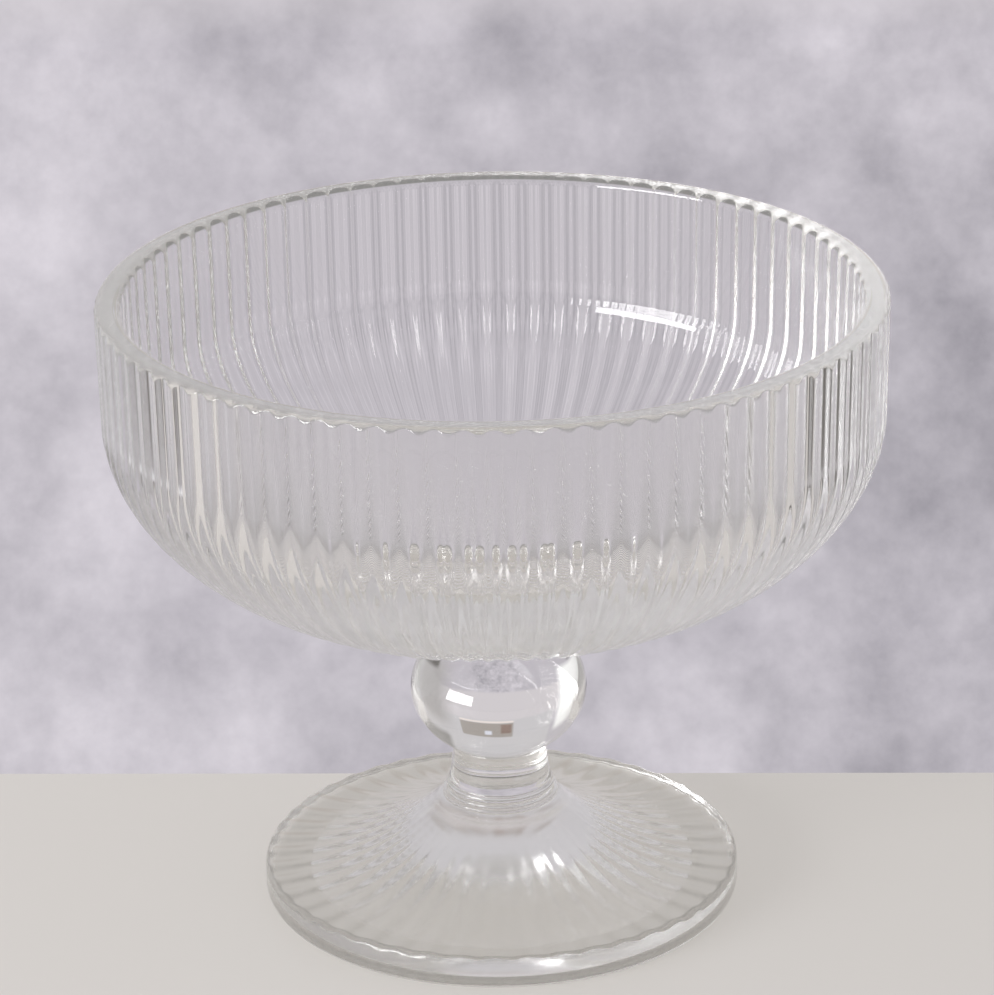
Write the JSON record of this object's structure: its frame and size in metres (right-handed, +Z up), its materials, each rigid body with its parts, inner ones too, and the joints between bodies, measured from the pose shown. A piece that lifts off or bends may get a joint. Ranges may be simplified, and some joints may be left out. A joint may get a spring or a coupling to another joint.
{
  "type": "footed glass bowl",
  "caption": "Round clear-glass bowl with fluted upright walls and a smooth inside, on a ball-knop stem and a wide reeded foot.",
  "frame": {"origin": "centre of the foot on the surface that the bowl stands on", "axes": "+Z up the axis of the bowl, towards the rim; the bowl is round about it"},
  "size_m": [0.12, 0.12, 0.0996],
  "materials": {
    "foot_glass": "clear pressed glass, fire polished",
    "collar_glass": "clear pressed glass, fire polished",
    "knop_glass": "clear pressed glass, fire polished",
    "merese_glass": "clear pressed glass, fire polished",
    "bowl_glass": "clear pressed glass, fire polished"
  },
  "bodies": {
    "root": {"foot": "foot_glass", "collar": "collar_glass", "knop": "knop_glass", "merese": "merese_glass", "bowl": "bowl_glass"}
  },
  "joints": []
}
